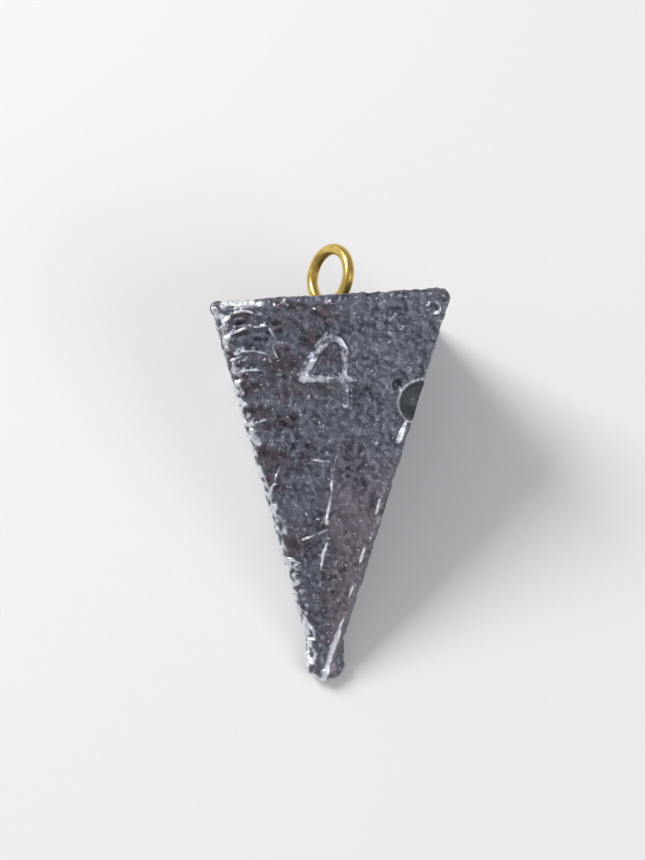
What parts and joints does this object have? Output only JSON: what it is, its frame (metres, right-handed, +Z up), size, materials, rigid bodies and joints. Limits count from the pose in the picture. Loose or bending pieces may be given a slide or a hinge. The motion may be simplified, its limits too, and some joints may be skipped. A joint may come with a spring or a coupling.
{
  "type": "pyramid sinker",
  "caption": "Four-sided cast lead fishing weight with rounded edges, a blunt point and a brass wire eye in its wide end.",
  "frame": {"origin": "under the middle of the box, on the surface that the sinker lies on", "axes": "+Z up, +Y from the point towards the wide end and its eye, +X to the right seen from the point"},
  "size_m": [0.0254, 0.0482, 0.0249],
  "materials": {
    "cast_lead": "dull, tarnished, worn bright on the edges",
    "brass_wire": "drawn wire, slightly dulled"
  },
  "bodies": {
    "root": {"lead_body": "cast_lead", "wire_eye": "brass_wire"}
  },
  "joints": []
}
